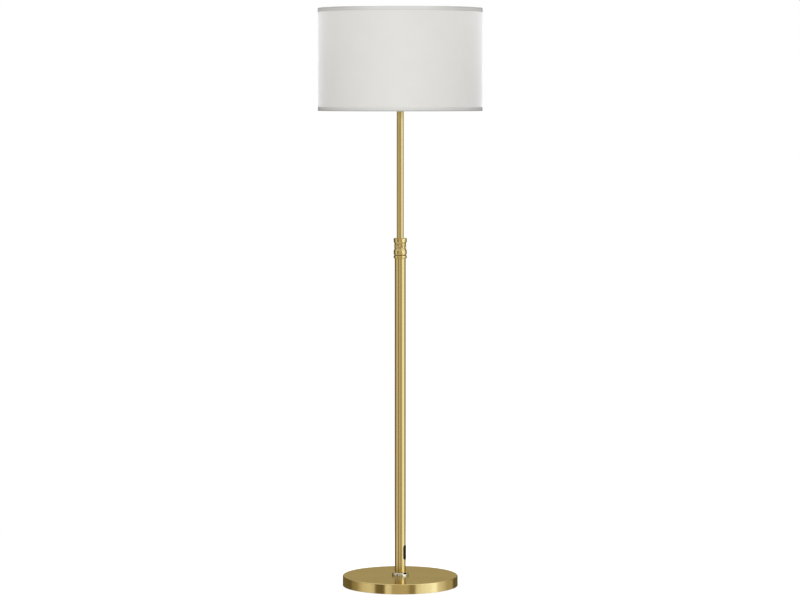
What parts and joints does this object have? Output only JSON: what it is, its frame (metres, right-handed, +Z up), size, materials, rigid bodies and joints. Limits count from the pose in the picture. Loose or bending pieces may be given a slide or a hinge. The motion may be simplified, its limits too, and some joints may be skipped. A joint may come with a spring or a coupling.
{
  "type": "telescopic floor lamp",
  "caption": "Floor lamp with a round weighted base, a sliding two-part brass pole locked by an ornamental screw collar, and a pale fabric drum shade.",
  "frame": {"origin": "middle of the underside of the base's felt pad, on the floor", "axes": "+Z up along the pole; -Y is the front; the flex enters from +X turned 28 degrees towards the front"},
  "size_m": [0.4499, 0.45, 1.5886],
  "materials": {
    "satin_brass": "satin brass finish with fine lengthwise lines",
    "satin_brass_base": "brass finish, brushed across",
    "cast_brass": "satin brass, slightly darker in the hollows",
    "cast_weight": "rough casting, black wash",
    "plain_steel": "cold-rolled",
    "zinc_steel": "zinc plated",
    "felt": "pressed felt",
    "polished_nickel": "polished",
    "black_rubber": "moulded, dull",
    "nylon": "moulded",
    "black_thermoplastic": "moulded, slight sheen",
    "white_ceramic": "unglazed porcelain",
    "contact_brass": "bright stampings",
    "solder": "dull solder",
    "black_insulator": "black vitrite",
    "bulb_nickel": "nickel plated",
    "white_plastic": "white, semi-gloss",
    "opal_diffuser": "opal",
    "white_wire": "white powder coat",
    "liner_film": "white translucent film",
    "shade_cloth": "fine plain-weave off-white cloth"
  },
  "bodies": {
    "stand": {"base_cover": "satin_brass_base", "base_weight": "cast_weight", "base_plate": "plain_steel", "felt_pad": "felt", "base_screws": "zinc_steel", "pole_stud": "zinc_steel", "foot_washer": "zinc_steel", "foot_nut": "zinc_steel", "foot_ring": "polished_nickel", "foot_plug": "plain_steel", "lower_tube": "satin_brass", "cable_grommet": "black_rubber", "collar_sleeve": "cast_brass", "clamp_ring": "nylon"},
    "lock_nut": {"lock_nut": "cast_brass"},
    "guide": {"guide_bush": "nylon"},
    "upper_pole": {"guide_clips": "zinc_steel", "tube_end_bush": "nylon", "upper_tube": "satin_brass", "tube_cap": "satin_brass", "holder_nipple": "contact_brass", "holder_cap": "black_thermoplastic", "holder_grub_screw": "zinc_steel", "holder_core": "white_ceramic", "terminal_screws": "contact_brass", "centre_contact": "contact_brass", "screw_shell": "contact_brass", "holder_body": "black_thermoplastic", "shade_ring_lower": "black_thermoplastic", "shade_ring_upper": "black_thermoplastic", "bulb_contact": "solder", "bulb_insulator": "black_insulator", "bulb_cap": "bulb_nickel", "bulb_body": "white_plastic", "bulb_globe": "opal_diffuser", "shade_carrier": "white_wire", "shade_top_wire": "white_wire", "shade_liner": "liner_film", "shade_fabric": "shade_cloth", "shade_trim_bottom": "shade_cloth", "shade_trim_top": "shade_cloth"}
  },
  "joints": [
    {"name": "lock_nut_turn", "type": "hinge", "parent": "stand", "child": "lock_nut", "pos_m": [0, 0, 0.937], "axis": [0, 0, 1], "range_deg": [0, 180]},
    {"name": "pole_slide", "type": "slide", "parent": "stand", "child": "guide", "axis": [0, 0, 1], "range_m": [-0.35, 0.1]},
    {"name": "pole_swivel", "type": "hinge", "parent": "guide", "child": "upper_pole", "pos_m": [0, 0, 0.762], "axis": [0, 0, 1], "range_deg": [-170, 170]}
  ]
}
